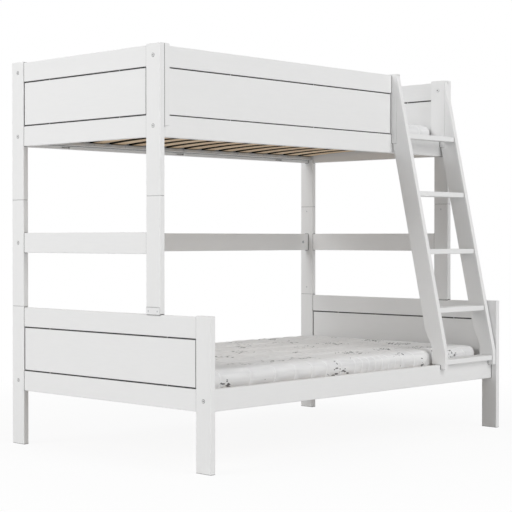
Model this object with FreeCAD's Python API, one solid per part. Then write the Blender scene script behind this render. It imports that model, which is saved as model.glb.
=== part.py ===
"""Bunk bed: a wide lower bed, a narrower upper bed over its back half, and a slanted ladder.

+X runs along the bed towards the ladder, +Y towards the back, +Z up. The origin is on the floor
under the middle of the bed. Sizes are in millimetres.
"""
import FreeCAD
import Part
import math
import os

# Overall sizes
LENGTH = 2063.0
LOWER_WIDTH = 1348.0
UPPER_WIDTH = 1041.0
LOWER_POST_HEIGHT = 650.0
EXTENSION_HEIGHT = 500.0
UPPER_POST_HEIGHT = 647.0

# Posts, rails, end boards and floating panels
POST_WIDTH = 89.0
POST_THICK = 27.0
RAIL_THICK = 27.0
BOARD_HEIGHT = 93.0
TOP_BOARD_HEIGHT = 90.0
END_THICK = 22.0
PANEL_HEIGHT = 198.0
PANEL_THICK = 20.0
PANEL_GAP = 5.0
END_DROP = 5.0
MID_RAIL_RISE = 252.0
EDGE_EASE = 2.0

# Stub tenons and the play in every wood joint
TENON_LENGTH = 15.0
TENON_THICK = 10.0
TENON_SHOULDER = 15.0
JOINT_PLAY = 0.2

# Guard uprights, forked over the side rails
UPRIGHT_THICK = 30.0
INNER_PRONG_GAP = 4.0
ENTRY_WIDTH = 374.0

# Slatted bases
LEDGER_RISE = 17.0
LEDGER_HEIGHT = 18.0
LEDGER_DEPTH = 28.0
LEDGER_END_GAP = 6.0
SLAT_WIDTH = 70.0
SLAT_THICK = 18.0
SLAT_SPACE = 57.0
SLAT_END_GAP = 3.0

# Long finger slots low on the inner faces of the upper rails
RAIL_SLOT_LENGTH = 50.0
RAIL_SLOT_HEIGHT = 6.0
RAIL_SLOT_DEPTH = 8.0
RAIL_SLOT_RISE = 5.0
RAIL_SLOT_PITCH = 755.0

# Mattresses
MATTRESS_THICK = 112.0
MATTRESS_END_GAP = 12.0
MATTRESS_SIDE_GAP = 22.0
MATTRESS_BACK_GAP = 6.0
MATTRESS_LADDER_GAP = 15.0
MATTRESS_EDGE = 30.0
MATTRESS_CROWN = 4.0
MATTRESS_LIFT_GAP = 0.3
MATTRESS_CORNER_PLAY = 3.0
CHANNEL_PITCH = 200.0
CHANNEL_DEPTH = 4.0
CHANNEL_HALF = 12.0
END_STATIONS = (0.0, 0.08, 0.3, 0.62, 1.0)
END_TIGHTENING = 0.6

# Ladder
STILE_THICK = 25.0
STILE_DEPTH = 100.0
STILE_RAIL_GAP = 1.0
STILE_HEAD = 1.5
STILE_POST_GAP = 5.0
KNEE_RISE = 50.0
LIP_DROP = 22.0
LIP_PLAY = 1.0
FOOT_DEPTH = 84.0
HEEL_RISE = 87.0
SWEEP_RISE = 72.0
SWEEP_RADIUS = 110.0
KNEE_RADIUS = 20.0
SHOULDER_PLAY = 0.5
STEP_COUNT = 5
STEP_THICK = 25.0
STEP_SETBACK = 4.0
STEP_RAIL_GAP = 0.5
FIRST_RISE = 253.0
TOP_STEP_PROUD = 1.5
STEP_TENON = 12.0
STEP_TENON_SHOULDER = 5.0
STEP_SHOULDER_SHARE = 0.3

# Bolts, barrel nuts, joint plates and dowels. Each round bar and hole has a few flats
BAR_SIDES = 8
HEAD_SIDES = 16
BOLT_RADIUS = 4.0
BOLT_BITE = 60.0
BOLT_HEAD_RADIUS = 8.0
BOLT_HEAD_HEIGHT = 3.0
HEX_SIDES = 6
HEX_RADIUS = 3.0
HEX_DEPTH = 2.0
CAP_SPIGOT = 10.0
NUT_RADIUS = 7.0
NUT_LENGTH = 20.0
NUT_SETBACK = 45.0
PLATE_MARGIN = 4.5
PLATE_THICK = 6.0
PLATE_LENGTH = 100.0
LADDER_BOLT_RISE = 35.0
LADDER_BOLT_PITCH = 100.0
LADDER_BOLT_BITE = 25.0
LADDER_BOLT_SHARE = 0.7
DOWEL_RADIUS = 4.0
DOWEL_LENGTH = 30.0
END_DOWEL_INSET = 185.0
GUARD_DOWEL_INSET = 405.0
GUARD_DOWEL_PITCH = 560.0

# Foot brackets under the front extension posts
BRACKET_THICK = 2.5
BRACKET_HEIGHT = 30.0
BRACKET_MARGIN = 2.0

# Levels and faces that follow from the sizes above
X, Y, Z = FreeCAD.Vector(1, 0, 0), FreeCAD.Vector(0, 1, 0), FreeCAD.Vector(0, 0, 1)
HALF = LENGTH / 2
POST_FACE = HALF - POST_THICK
BACK = LOWER_WIDTH / 2
LOWER_FRONT = BACK - LOWER_WIDTH
UPPER_FRONT = BACK - UPPER_WIDTH
BACK_POST = BACK - POST_WIDTH
RAIL_INSET = (POST_WIDTH - RAIL_THICK) / 2
RAIL_REACH = RAIL_INSET + RAIL_THICK
LOWER_TOP = LOWER_POST_HEIGHT
SEAM = LOWER_TOP + EXTENSION_HEIGHT
TOP = SEAM + UPPER_POST_HEIGHT
END_HEIGHT = BOARD_HEIGHT + TOP_BOARD_HEIGHT + 2 * PANEL_GAP + PANEL_HEIGHT
LOWER_BASE = LOWER_TOP - END_DROP - END_HEIGHT
UPPER_BASE = TOP - END_DROP - END_HEIGHT
MID_BASE = LOWER_TOP + MID_RAIL_RISE
SLAT_RISE = LEDGER_RISE + LEDGER_HEIGHT
SLEEP_RISE = SLAT_RISE + SLAT_THICK
SIDES = {"left": -1, "right": 1}

# Pockets for tenons, cut from what receives them, and round holes, cut from all the wood
sockets = []
bores = []


def block(x, y, z):
    """A box between the two given places on each axis."""
    return Part.makeBox(x[1] - x[0], y[1] - y[0], z[1] - z[0], FreeCAD.Vector(x[0], y[0], z[0]))


def bar(radius, start, direction, length, sides=BAR_SIDES):
    """A many-sided bar from a start point along one of the axes."""
    across = Y if abs(direction.x) > abs(direction.y) + abs(direction.z) else X
    up = direction.cross(across)
    ring = []
    for corner in range(sides + 1):
        turn = math.tau * corner / sides
        spoke = across * math.cos(turn) + up * math.sin(turn)
        ring.append(FreeCAD.Vector(*start) + spoke * radius)
    return Part.Face(Part.makePolygon(ring)).extrude(direction * length)


def grown(span, margin=JOINT_PLAY):
    """A span with the margin added at both ends."""
    return (span[0] - margin, span[1] + margin)


def spread(middle, size):
    """A span of the given size about its middle."""
    return (middle - size / 2, middle + size / 2)


def eased(board):
    """The board with its four long edges taken off."""
    box = board.BoundBox
    longest = max(box.XLength, box.YLength, box.ZLength)
    edges = [edge for edge in board.Edges if edge.Length > longest - JOINT_PLAY]
    return board.makeChamfer(EDGE_EASE, edges)


def cut_by(shape, tools):
    """The shape less the tools that reach it."""
    near = [tool for tool in tools if shape.BoundBox.intersect(tool.BoundBox)]
    return shape.cut(near) if near else shape


def along(axis, span, across, up):
    """A board whose length lies along x or y."""
    return block(span, across, up) if axis == "x" else block(across, span, up)


def tenoned(axis, span, across, up):
    """An eased board with a stub tenon at each end. Its pockets go on the list of sockets."""
    cheek = spread(sum(across) / 2, TENON_THICK)
    rise = grown(up, -TENON_SHOULDER)
    board = eased(along(axis, span, across, up))
    for end, outward in ((span[0], -1), (span[1], 1)):
        tongue = sorted((end, end + outward * TENON_LENGTH))
        pocket = sorted((end, end + outward * (TENON_LENGTH + JOINT_PLAY)))
        board = board.fuse(along(axis, tongue, cheek, rise))
        sockets.append(along(axis, pocket, grown(cheek), grown(rise)))
    return board


def save(name, *solids):
    """Writes one node, a single solid or a group of separate ones."""
    shape = solids[0] if len(solids) == 1 else Part.makeCompound(list(solids))
    shape.exportStep("parts/" + name + ".step")


def rail_span(post_y):
    """The places across the bed of a rail centred on a post."""
    return (post_y + RAIL_INSET, post_y + RAIL_INSET + RAIL_THICK)


# Dowels cross the narrow gaps above and below each floating panel
dowels = []


def dowel(x, y, gap_base):
    """A dowel across the gap whose lower face is given, with its hole."""
    low, high = spread(gap_base + PANEL_GAP / 2, DOWEL_LENGTH)
    hole_low, hole_high = grown((low, high))
    dowels.append(bar(DOWEL_RADIUS, (x, y, low), Z, high - low))
    bores.append(bar(DOWEL_RADIUS + JOINT_PLAY, (x, y, hole_low), Z, hole_high - hole_low))


def end_frame(side, front, base):
    """Top board, panel and bottom board of one bed end, between a front and a back post."""
    middle = SIDES[side] * (HALF - POST_THICK / 2)
    span = (front + POST_WIDTH, BACK_POST)
    across = spread(middle, END_THICK)
    panel_base = base + BOARD_HEIGHT + PANEL_GAP
    top_base = panel_base + PANEL_HEIGHT + PANEL_GAP
    for gap_base in (base + BOARD_HEIGHT, top_base - PANEL_GAP):
        for y in grown(span, -END_DOWEL_INSET):
            dowel(middle, y, gap_base)
    bottom = tenoned("y", span, across, (base, base + BOARD_HEIGHT))
    top = tenoned("y", span, across, (top_base, top_base + TOP_BOARD_HEIGHT))
    panel_y = grown(span, -PANEL_GAP)
    panel = eased(block(spread(middle, PANEL_THICK), panel_y, (panel_base, panel_base + PANEL_HEIGHT)))
    return {"top_board": top, "panel": panel, "bottom_board": bottom}


ends = {}
for side in SIDES:
    ends["lower_end_", side] = end_frame(side, LOWER_FRONT, LOWER_BASE)
    ends["upper_end_", side] = end_frame(side, UPPER_FRONT, UPPER_BASE)

# Mid rails brace the extension posts at both ends and along the back
mid_up = (MID_BASE, MID_BASE + BOARD_HEIGHT)
mid_span = (UPPER_FRONT + POST_WIDTH, BACK_POST)
mid_rails = {}
for side, sign in SIDES.items():
    mid_rails[side] = tenoned("y", mid_span, spread(sign * (HALF - POST_THICK / 2), END_THICK), mid_up)
inside = (-POST_FACE, POST_FACE)
mid_rails["back"] = eased(block(inside, rail_span(BACK_POST), mid_up))


# Side rails run from post to post, centred on the posts' width
rails = {}
rail_rows = {
    "lower_rail_back": (BACK_POST, LOWER_BASE),
    "lower_rail_front": (LOWER_FRONT, LOWER_BASE),
    "upper_rail_back": (BACK_POST, UPPER_BASE),
    "upper_rail_front": (UPPER_FRONT, UPPER_BASE),
}
for name, (post_y, base) in rail_rows.items():
    rail = eased(block(inside, rail_span(post_y), (base, base + BOARD_HEIGHT)))
    if name.startswith("upper"):
        inner = rail_span(post_y)[0] if name.endswith("back") else rail_span(post_y)[1]
        slot_y = grown((inner, inner), RAIL_SLOT_DEPTH)
        slot_z = (base + RAIL_SLOT_RISE, base + RAIL_SLOT_RISE + RAIL_SLOT_HEIGHT)
        for x in (-RAIL_SLOT_PITCH, 0, RAIL_SLOT_PITCH):
            rail = rail.cut(block(spread(x, RAIL_SLOT_LENGTH), slot_y, slot_z))
    rails[name] = rail

# Guards: a tenoned top board and a floating panel between forked uprights that straddle the rail
RAIL_TOP = UPPER_BASE + BOARD_HEIGHT
GUARD_PANEL_BASE = RAIL_TOP + PANEL_GAP
GUARD_TOP_BASE = GUARD_PANEL_BASE + PANEL_HEIGHT + PANEL_GAP
UPRIGHT_FACE = POST_FACE - UPRIGHT_THICK
LADDER_LEFT = UPRIGHT_FACE - ENTRY_WIDTH - UPRIGHT_THICK
guards = {}


def guard(name, post_y, span, dowel_places):
    """Top board and panel of one guard, between the uprights at the span's ends."""
    across = rail_span(post_y)
    panel_y = spread(sum(across) / 2, PANEL_THICK)
    panel_up = (GUARD_PANEL_BASE, GUARD_PANEL_BASE + PANEL_HEIGHT)
    top_up = (GUARD_TOP_BASE, GUARD_TOP_BASE + TOP_BOARD_HEIGHT)
    guards["guard_top_board_" + name] = tenoned("x", span, across, top_up)
    guards["guard_panel_" + name] = eased(block(grown(span, -PANEL_GAP), panel_y, panel_up))
    for x in dowel_places:
        dowel(x, sum(across) / 2, RAIL_TOP)
        dowel(x, sum(across) / 2, GUARD_TOP_BASE - PANEL_GAP)


first_dowel = -UPRIGHT_FACE + GUARD_DOWEL_INSET
front_places = (first_dowel, first_dowel + GUARD_DOWEL_PITCH)
back_places = (-GUARD_DOWEL_PITCH, 0, GUARD_DOWEL_PITCH)
guard("front", UPPER_FRONT, (-UPRIGHT_FACE, LADDER_LEFT), front_places)
guard("back", BACK_POST, (-UPRIGHT_FACE, UPRIGHT_FACE), back_places)


def upright(x0, post_y, outward, width):
    """A guard upright: its outer prong ends at mid rail, its inner one, if any, just above the slats."""
    outer = post_y if outward < 0 else post_y + POST_WIDTH
    y = sorted((outer, outer - outward * width))
    x = (x0, x0 + UPRIGHT_THICK)
    body = eased(block(x, y, (UPPER_BASE + BOARD_HEIGHT / 2, TOP)))
    notch = block(grown(x), grown(rail_span(post_y), JOINT_PLAY), (UPPER_BASE, RAIL_TOP))
    body = body.cut(notch)
    inner_y = sorted((outer - outward * RAIL_REACH, outer - outward * POST_WIDTH))
    short = block(grown(x), inner_y, (UPPER_BASE, UPPER_BASE + SLEEP_RISE + INNER_PRONG_GAP))
    return body.cut(short)


uprights = {
    "guard_upright_front_left": upright(-POST_FACE, UPPER_FRONT, -1, POST_WIDTH),
    "guard_upright_ladder_left": upright(LADDER_LEFT, UPPER_FRONT, -1, RAIL_REACH),
    "guard_upright_ladder_right": upright(UPRIGHT_FACE, UPPER_FRONT, -1, POST_WIDTH),
    "guard_upright_back_left": upright(-POST_FACE, BACK_POST, 1, POST_WIDTH),
    "guard_upright_back_right": upright(UPRIGHT_FACE, BACK_POST, 1, POST_WIDTH),
}

# Ladder: two slanted stiles whose hooked feet sit on the lower front rail, and housed steps
STEP_BASE = LOWER_BASE + BOARD_HEIGHT
KNEE = STEP_BASE + KNEE_RISE
HEEL = STEP_BASE + HEEL_RISE
SWEEP = HEEL + SWEEP_RISE
LEAN = (UPPER_FRONT - LOWER_FRONT) / (TOP - KNEE)
LIP_BACK = rail_span(LOWER_FRONT)[0] - LIP_PLAY
HEEL_Y = LOWER_FRONT + FOOT_DEPTH
PRONG_END = UPPER_BASE + BOARD_HEIGHT / 2
RIGHT_STILE = POST_FACE - STILE_POST_GAP - STILE_THICK
# A steep ladder has shallower stiles, because they pass in front of the upper rail
ROOM_AT_RAIL = RAIL_INSET - STILE_RAIL_GAP + LEAN * (TOP - PRONG_END)
SLANTED_DEPTH = min(STILE_DEPTH, ROOM_AT_RAIL)


def stile_front(z):
    """The front edge of a stile at a height: slanted, then upright below the knee."""
    return max(LOWER_FRONT, UPPER_FRONT - LEAN * (TOP - z))


def stile_back(z):
    """The back edge of a stile at a height: upright at the heel, and at the guard above the prongs."""
    if z <= HEEL:
        return HEEL_Y
    return stile_front(z) + SLANTED_DEPTH if z < PRONG_END else UPPER_FRONT


def rounded_wire(corners):
    """A closed wire through flat corners, with an arc at each corner that has a radius."""
    arcs = []
    spans = []
    for number, (corner, radius) in enumerate(corners):
        to_last = (corners[number - 1][0] - corner).normalize()
        to_next = (corners[(number + 1) % len(corners)][0] - corner).normalize()
        half_angle = to_last.getAngle(to_next) / 2
        reach = radius / math.tan(half_angle)
        spans.append((corner + to_last * reach, corner + to_next * reach))
        if radius:
            inward = (to_last + to_next).normalize()
            crown = corner + inward * (radius / math.sin(half_angle) - radius)
            arcs.append(Part.Arc(spans[-1][0], crown, spans[-1][1]).toShape())
    sides = [Part.makeLine(spans[i - 1][1], spans[i][0]) for i in range(len(spans))]
    return Part.Wire(Part.__sortEdges__(sides + arcs))


def stile(x0):
    """One stile, from its outline, with the knee and the swept heel rounded."""
    shoulder = PRONG_END - SHOULDER_PLAY
    outline = [
        (UPPER_FRONT, TOP - STILE_HEAD / LEAN),
        (UPPER_FRONT - STILE_HEAD, TOP - STILE_HEAD / LEAN),
        (LOWER_FRONT, KNEE),
        (LOWER_FRONT, STEP_BASE - LIP_DROP),
        (LIP_BACK, STEP_BASE - LIP_DROP),
        (LIP_BACK, STEP_BASE),
        (HEEL_Y, STEP_BASE),
        (HEEL_Y, HEEL),
        (stile_back(SWEEP), SWEEP),
        (stile_back(shoulder), shoulder),
        (UPPER_FRONT, shoulder),
    ]
    rounded = {(LOWER_FRONT, KNEE): KNEE_RADIUS, (HEEL_Y, HEEL): SWEEP_RADIUS}
    rounded[stile_back(SWEEP), SWEEP] = SWEEP_RADIUS
    corners = [(FreeCAD.Vector(x0, *place), rounded.get(place, 0.0)) for place in outline]
    board = Part.Face(rounded_wire(corners)).extrude(X * STILE_THICK)
    long_edges = [edge for edge in board.Edges if edge.Length > (PRONG_END - SWEEP) / 2]
    slanted = [edge for edge in long_edges if abs(edge.tangentAt(edge.FirstParameter).y) > LEAN / 2]
    return board.makeChamfer(EDGE_EASE, slanted)


def step_top(number):
    """The height of a step's upper face: the first just over the lower rail, the last at the upper one."""
    lowest = STEP_BASE + STEP_RAIL_GAP + STEP_THICK
    rise = (RAIL_TOP + TOP_STEP_PROUD - lowest - FIRST_RISE) / (STEP_COUNT - 2)
    return lowest if number == 1 else lowest + FIRST_RISE + (number - 2) * rise


def step(number):
    """One step with a stub tenon at each end. Its pockets go on the list of sockets."""
    up = (step_top(number) - STEP_THICK, step_top(number))
    y = (stile_front(up[1]) + STEP_SETBACK, stile_back(up[0]) - STEP_SETBACK)
    span = (LADDER_LEFT + STILE_THICK, RIGHT_STILE)
    tongue_y = grown(y, -min(TENON_SHOULDER, STEP_SHOULDER_SHARE * (y[1] - y[0])))
    tongue_up = grown(up, -STEP_TENON_SHOULDER)
    board = eased(block(span, y, up))
    tongue = block(grown(span, STEP_TENON), tongue_y, tongue_up)
    sockets.append(block(grown(span, STEP_TENON + JOINT_PLAY), grown(tongue_y), grown(tongue_up)))
    return board.fuse(tongue)


steps = [step(number) for number in range(1, STEP_COUNT + 1)]
stiles = {"ladder_stile_left": stile(LADDER_LEFT), "ladder_stile_right": stile(RIGHT_STILE)}

# Bolts enter flush through the posts, and barrel nuts in the rails and guard boards take them
bolts = []
nuts = []


def headed(place, direction, length):
    """A bolt with a flush round head and a hexagon recess. Its hole goes on the list of bores."""
    head = bar(BOLT_HEAD_RADIUS, place, direction, BOLT_HEAD_HEIGHT, HEAD_SIDES)
    shank = bar(BOLT_RADIUS, place, direction, length)
    recess = bar(HEX_RADIUS, place, direction, HEX_DEPTH, HEX_SIDES)
    bores.append(bar(BOLT_HEAD_RADIUS + JOINT_PLAY, place, direction, BOLT_HEAD_HEIGHT, HEAD_SIDES))
    bores.append(bar(BOLT_RADIUS + JOINT_PLAY, place, direction, length + JOINT_PLAY))
    return head.fuse(shank).cut(recess)


def board_bolt(sign, post_y, z, outward, cover):
    """A bolt through what covers a board's end and into the board, where a barrel nut takes it."""
    y = post_y + POST_WIDTH / 2
    nut_face = rail_span(post_y)[0] if outward > 0 else rail_span(post_y)[1]
    nut_x = sign * (HALF - cover - NUT_SETBACK)
    nut = bar(NUT_RADIUS, (nut_x, nut_face, z), Y * outward, NUT_LENGTH)
    through = (nut_x - sign * NUT_RADIUS, y, z)
    nuts.append(nut.cut(bar(BOLT_RADIUS + JOINT_PLAY, through, X * sign, 2 * NUT_RADIUS)))
    bores.append(bar(NUT_RADIUS + JOINT_PLAY, (nut_x, nut_face, z), Y * outward, NUT_LENGTH + JOINT_PLAY))
    bolts.append(headed((sign * HALF, y, z), X * -sign, cover + BOLT_BITE))


bolted_rows = [
    (BACK_POST, LOWER_BASE, 1),
    (LOWER_FRONT, LOWER_BASE, -1),
    (BACK_POST, MID_BASE, 1),
    (BACK_POST, UPPER_BASE, 1),
    (UPPER_FRONT, UPPER_BASE, -1),
]
for post_y, base, outward in bolted_rows:
    for sign in SIDES.values():
        board_bolt(sign, post_y, base + BOARD_HEIGHT / 2, outward, POST_THICK)
guard_level = GUARD_TOP_BASE + TOP_BOARD_HEIGHT / 2
for sign, post_y, outward in ((-1, BACK_POST, 1), (1, BACK_POST, 1), (-1, UPPER_FRONT, -1)):
    board_bolt(sign, post_y, guard_level, outward, POST_THICK + UPRIGHT_THICK)

# Beside the ladder a cap nut on the upright's inner face takes the guard bolt
entry_y = UPPER_FRONT + POST_WIDTH / 2
bolts.append(headed((HALF, entry_y, guard_level), -X, POST_THICK + UPRIGHT_THICK - CAP_SPIGOT))
bolts.append(headed((UPRIGHT_FACE, entry_y, guard_level), X, CAP_SPIGOT))

# The ladder is bolted to its two uprights from inside the upper bed
ladder_bolts = []
for stile_x, width in ((LADDER_LEFT, RAIL_REACH), (RIGHT_STILE, POST_WIDTH)):
    for level in (RAIL_TOP + LADDER_BOLT_RISE, RAIL_TOP + LADDER_BOLT_RISE + LADDER_BOLT_PITCH):
        place = (stile_x + STILE_THICK / 2, UPPER_FRONT + width, level)
        stile_here = UPPER_FRONT - stile_front(level)
        bite = min(LADDER_BOLT_BITE, LADDER_BOLT_SHARE * stile_here)
        ladder_bolts.append(headed(place, -Y, width + bite))

# Steel plates slotted into the post sections line them up at their seams
plates = []
plate_width = POST_WIDTH - 2 * (TENON_LENGTH + PLATE_MARGIN)
for post_y, levels in ((BACK_POST, (LOWER_TOP, SEAM)), (UPPER_FRONT, (SEAM,))):
    for sign in SIDES.values():
        for level in levels:
            plate_x = spread(sign * (HALF - POST_THICK / 2), PLATE_THICK)
            plate_y = spread(post_y + POST_WIDTH / 2, plate_width)
            plate_z = spread(level, PLATE_LENGTH)
            plates.append(block(plate_x, plate_y, plate_z))
            sockets.append(block(grown(plate_x), grown(plate_y), grown(plate_z)))


def post(side, post_y, up):
    """One post section with its tenon pockets and holes."""
    x = sorted((SIDES[side] * HALF, SIDES[side] * POST_FACE))
    body = eased(block(x, (post_y, post_y + POST_WIDTH), up))
    return cut_by(body, sockets + bores)


# Front extension posts stand in L-shaped brackets on the lower ends' top boards, or on the lower
# front posts where the beds' widths are so near that the posts meet
posts_meet = UPPER_FRONT < LOWER_FRONT + POST_WIDTH
BRACKET_BASE = LOWER_TOP if posts_meet else LOWER_TOP - END_DROP
posts = {}
brackets = []
for side, sign in SIDES.items():
    posts["lower_post_back_" + side] = post(side, BACK_POST, (0, LOWER_TOP))
    posts["lower_post_front_" + side] = post(side, LOWER_FRONT, (0, LOWER_TOP))
    posts["extension_post_back_" + side] = post(side, BACK_POST, (LOWER_TOP, SEAM))
    posts["extension_post_front_" + side] = post(side, UPPER_FRONT, (BRACKET_BASE + BRACKET_THICK, SEAM))
    posts["upper_post_back_" + side] = post(side, BACK_POST, (SEAM, TOP))
    posts["upper_post_front_" + side] = post(side, UPPER_FRONT, (SEAM, TOP))
    bracket_y = grown((UPPER_FRONT, UPPER_FRONT + POST_WIDTH), -BRACKET_MARGIN)
    outer = sign * (HALF + BRACKET_THICK)
    sole_x = sorted((sign * POST_FACE, outer))
    flange_x = sorted((sign * HALF, outer))
    sole = block(sole_x, bracket_y, (BRACKET_BASE, BRACKET_BASE + BRACKET_THICK))
    brackets.append(sole.fuse(block(flange_x, bracket_y, (BRACKET_BASE, BRACKET_BASE + BRACKET_HEIGHT))))


# Slatted bases: ledgers inside the rails carry loose slats across the bed
def ledgers(front_post, base):
    """The front and back ledger of one bed."""
    front_face = rail_span(front_post)[1]
    back_face = rail_span(BACK_POST)[0]
    up = (base + LEDGER_RISE, base + LEDGER_RISE + LEDGER_HEIGHT)
    span = grown(inside, -LEDGER_END_GAP)
    rows = ((front_face, front_face + LEDGER_DEPTH), (back_face - LEDGER_DEPTH, back_face))
    return [eased(block(span, row, up)) for row in rows]


def slats(front_post, base):
    """As many slats as fit between the posts, evenly spaced about the middle."""
    y = grown((rail_span(front_post)[1], rail_span(BACK_POST)[0]), -SLAT_END_GAP)
    up = (base + SLAT_RISE, base + SLEEP_RISE)
    pitch = SLAT_WIDTH + SLAT_SPACE
    count = int((2 * POST_FACE + SLAT_SPACE) // pitch)
    places = [(number - (count - 1) / 2) * pitch for number in range(count)]
    return [eased(block(spread(x, SLAT_WIDTH), y, up)) for x in places]


# Mattresses: crowned, with rounded edges and corners and stitched channels across them
def corner_drop(radius, distance):
    """How far a rounded corner draws in at a distance from the end."""
    return 0.0 if distance >= radius else radius - math.sqrt(radius ** 2 - (radius - distance) ** 2)


def mattress_section(x, y, z, edge):
    """The outline of a mattress across the bed: a crowned top with round edges over flat sides."""
    tuck = edge * (1 - math.sqrt(0.5))
    middle = sum(y) / 2

    def at(py, pz):
        return FreeCAD.Vector(x, py, pz)

    edges = [
        Part.LineSegment(at(y[0] + edge, z[0]), at(y[1] - edge, z[0])),
        Part.LineSegment(at(y[1] - edge, z[0]), at(y[1], z[0] + edge)),
        Part.LineSegment(at(y[1], z[0] + edge), at(y[1], z[1] - edge)),
        Part.Arc(at(y[1], z[1] - edge), at(y[1] - tuck, z[1] - tuck), at(y[1] - edge, z[1])),
        Part.Arc(at(y[1] - edge, z[1]), at(middle, z[1] + MATTRESS_CROWN), at(y[0] + edge, z[1])),
        Part.Arc(at(y[0] + edge, z[1]), at(y[0] + tuck, z[1] - tuck), at(y[0], z[1] - edge)),
        Part.LineSegment(at(y[0], z[1] - edge), at(y[0], z[0] + edge)),
        Part.LineSegment(at(y[0], z[0] + edge), at(y[0] + edge, z[0])),
    ]
    return Part.Wire([edge_curve.toShape() for edge_curve in edges])


def mattress(y, base, corner):
    """A mattress lofted along the bed through its rounded ends and its channels."""
    half = POST_FACE - MATTRESS_END_GAP
    top = base + MATTRESS_THICK - MATTRESS_CROWN
    edge = MATTRESS_EDGE
    stations = []
    for share in END_STATIONS:
        distance = share * corner
        inset = corner_drop(corner, distance)
        drop = corner_drop(edge, distance)
        stations.append((half - distance, inset, drop, edge - END_TIGHTENING * drop))
    channels = int((2 * half - 2 * corner) // CHANNEL_PITCH)
    places = [(number - (channels - 1) / 2) * CHANNEL_PITCH for number in range(channels)]
    rows = [(-x, inset, drop, drop, radius) for x, inset, drop, radius in stations]
    for x in places:
        rows.append((x - CHANNEL_HALF, 0.0, 0.0, 0.0, edge))
        rows.append((x, CHANNEL_DEPTH, 0.0, CHANNEL_DEPTH, edge))
        rows.append((x + CHANNEL_HALF, 0.0, 0.0, 0.0, edge))
    rows += [(x, inset, drop, drop, radius) for x, inset, drop, radius in reversed(stations)]
    wires = []
    for x, inset, rise, fall, radius in rows:
        wires.append(mattress_section(x, grown(y, -inset), (base + rise, top - fall), radius))
    return Part.makeLoft(wires, True, True)


def clearing_corner(intrusion):
    """The corner radius that keeps a mattress clear of an upright which stands inside its side line."""
    reach = max(UPRIGHT_THICK - MATTRESS_END_GAP, 0.0)
    draw = max(intrusion + MATTRESS_CORNER_PLAY, 0.0)
    return max(MATTRESS_EDGE, reach + draw + math.sqrt(2 * reach * draw))


corner = clearing_corner(RAIL_INSET - MATTRESS_SIDE_GAP)
upper_y = grown((rail_span(UPPER_FRONT)[1], rail_span(BACK_POST)[0]), -MATTRESS_SIDE_GAP)
lower_y = (HEEL_Y + MATTRESS_LADDER_GAP, rail_span(BACK_POST)[0] - MATTRESS_BACK_GAP)

os.makedirs("parts", exist_ok=True)
for name, shape in posts.items():
    save(name, shape)
for (prefix, side), frame in ends.items():
    for piece, shape in frame.items():
        save(prefix + piece + "_" + side, cut_by(shape, bores))
for side, shape in mid_rails.items():
    save("mid_rail_" + side, cut_by(shape, bores))
for name, shape in rails.items():
    save(name, cut_by(shape, bores))
for name, shape in guards.items():
    save(name, cut_by(shape, bores))
for name, shape in (uprights | stiles).items():
    save(name, cut_by(shape, sockets + bores))
for number, shape in enumerate(steps, 1):
    save("ladder_step_" + str(number), shape)
save("lower_ledgers", *ledgers(LOWER_FRONT, LOWER_BASE))
save("upper_ledgers", *ledgers(UPPER_FRONT, UPPER_BASE))
save("lower_slats", *slats(LOWER_FRONT, LOWER_BASE))
save("upper_slats", *slats(UPPER_FRONT, UPPER_BASE))
save("lower_mattress", mattress(lower_y, LOWER_BASE + SLEEP_RISE + MATTRESS_LIFT_GAP, corner))
save("upper_mattress", mattress(upper_y, UPPER_BASE + SLEEP_RISE + MATTRESS_LIFT_GAP, corner))
save("foot_brackets", *brackets)
save("frame_bolts", *bolts)
save("barrel_nuts", *nuts)
save("panel_dowels", *dowels)
save("ladder_bolts", *ladder_bolts)
save("post_joint_plates", *plates)
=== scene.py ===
import math

import bpy
import numpy as np
from mathutils import Matrix, Vector


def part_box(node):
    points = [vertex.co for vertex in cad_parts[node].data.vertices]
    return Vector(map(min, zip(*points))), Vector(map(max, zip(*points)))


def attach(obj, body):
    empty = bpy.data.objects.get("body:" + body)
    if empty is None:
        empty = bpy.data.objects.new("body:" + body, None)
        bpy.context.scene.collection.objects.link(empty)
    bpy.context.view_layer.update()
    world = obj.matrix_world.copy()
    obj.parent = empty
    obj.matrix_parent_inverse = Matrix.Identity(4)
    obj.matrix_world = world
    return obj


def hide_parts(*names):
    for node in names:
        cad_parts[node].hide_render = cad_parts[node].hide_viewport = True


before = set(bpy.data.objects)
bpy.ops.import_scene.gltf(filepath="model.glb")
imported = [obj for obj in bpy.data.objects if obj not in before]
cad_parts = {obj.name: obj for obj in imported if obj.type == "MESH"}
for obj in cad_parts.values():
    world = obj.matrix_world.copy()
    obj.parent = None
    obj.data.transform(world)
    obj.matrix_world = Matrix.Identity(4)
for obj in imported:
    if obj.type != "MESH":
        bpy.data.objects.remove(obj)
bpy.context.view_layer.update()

# Posts: each corner stands on one, or on two or three sections bolted in line. They are solid wood,
# planed to a flat oblong, eased along the edges and sprayed with a satin white lacquer.
LACQUER_BRIGHT = (0.83, 0.83, 0.828, 1)
LACQUER_DULL = (0.80, 0.80, 0.796, 1)
DULL_AT, BRIGHT_AT = 0.3, 0.65
CLOUD_SHARE, GRAIN_SHARE, SPRAY_SHARE = 0.65, 0.35, 0.3
SATIN_SMOOTH, SATIN_ROUGH = 0.38, 0.52
WELD_REACH = 0.00002
SOFT_EDGE = 0.002
FLAT_ANGLE = math.radians(0.6)
SHARP_ANGLE = math.radians(50)
# The lacquer's colour carries painted shade: it falls towards GAP_SHADE where ambient occlusion within
# GAP_REACH finds narrow gaps and inner corners.
GAP_REACH = 0.0045
GAP_SHADE = (0.012, 0.012, 0.011, 1)
GAP_SAMPLES = 8


def add_node(tree, kind, **inputs):
    """Adds a shader node and sets its inputs by name, with spaces written as underscores."""
    node = tree.nodes.new(kind)
    for name, value in inputs.items():
        node.inputs[name.replace("_", " ")].default_value = value
    return node


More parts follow.
